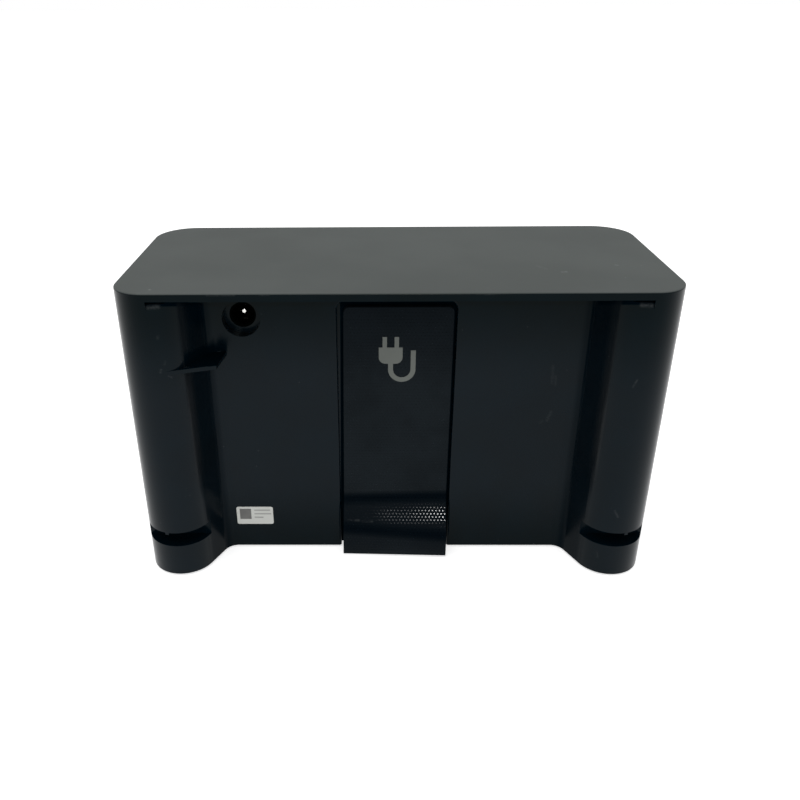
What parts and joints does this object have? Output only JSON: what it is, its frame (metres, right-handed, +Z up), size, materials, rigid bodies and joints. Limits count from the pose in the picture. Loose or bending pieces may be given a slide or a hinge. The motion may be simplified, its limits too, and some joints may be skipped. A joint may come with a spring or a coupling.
{
  "type": "robot vacuum charging dock",
  "caption": "Free-standing charging dock for a robot vacuum, with a low ramp, sprung contacts, a rear cord recess, a plug socket and a rubber cord strap.",
  "frame": {"origin": "middle of the footprint, on the floor", "axes": "+Z up, -Y towards the ramp that the robot drives onto, +Y towards the cord recess and plug socket"},
  "size_m": [0.169, 0.1544, 0.1013],
  "materials": {
    "charcoal_plastic": "fine moulded grain, satin",
    "window_plastic": "smoked, polished",
    "strap_rubber": "fine dots, half gloss",
    "socket_plastic": "smooth black",
    "pin_nickel": "bright nickel",
    "board_laminate": "green solder mask",
    "capacitor_sleeve": "shrunk sleeve",
    "chip_plastic": "moulded epoxy",
    "emitter_lens": "tinted resin",
    "lead_red": "wire insulation",
    "lead_black": "wire insulation",
    "contact_nickel": "nickel plated, lightly rubbed",
    "spring_steel": "drawn wire",
    "terminal_brass": "stamped sheet",
    "screw_steel": "zinc plated",
    "foot_rubber": "matte",
    "label_paper": "matte sticker"
  },
  "bodies": {
    "dock": {"housing": "charcoal_plastic", "base_tray": "charcoal_plastic", "contact_cover": "charcoal_plastic", "ir_window": "window_plastic", "cord_strap": "strap_rubber", "jack_body": "socket_plastic", "jack_pin": "pin_nickel", "jack_leaf": "pin_nickel", "circuit_board": "board_laminate", "filter_capacitor": "capacitor_sleeve", "control_chip": "chip_plastic", "emitter_holder": "socket_plastic", "ir_emitter_left": "emitter_lens", "ir_emitter_center": "emitter_lens", "ir_emitter_right": "emitter_lens", "contact_lead_left": "lead_red", "contact_lead_right": "lead_black", "contact_spring_left": "spring_steel", "contact_spring_right": "spring_steel", "contact_terminal_left": "terminal_brass", "contact_terminal_right": "terminal_brass", "base_screws": "screw_steel", "board_screws": "screw_steel", "cover_screws": "screw_steel", "foot_front_left": "foot_rubber", "foot_front_right": "foot_rubber", "foot_rear_left": "foot_rubber", "foot_rear_right": "foot_rubber", "rear_label": "label_paper"},
    "left_contact": {"charge_contact_left": "contact_nickel"},
    "right_contact": {"charge_contact_right": "contact_nickel"}
  },
  "joints": [
    {"name": "left_contact_press", "type": "slide", "parent": "dock", "child": "left_contact", "axis": [0, 0, -1], "range_m": [0, 0.0016], "stiffness_N_per_m": 400, "springref_m": -0.003, "deforming": ["contact_spring_left"]},
    {"name": "right_contact_press", "type": "slide", "parent": "dock", "child": "right_contact", "axis": [0, 0, -1], "range_m": [0, 0.0016], "stiffness_N_per_m": 400, "springref_m": -0.003, "deforming": ["contact_spring_right"]}
  ]
}
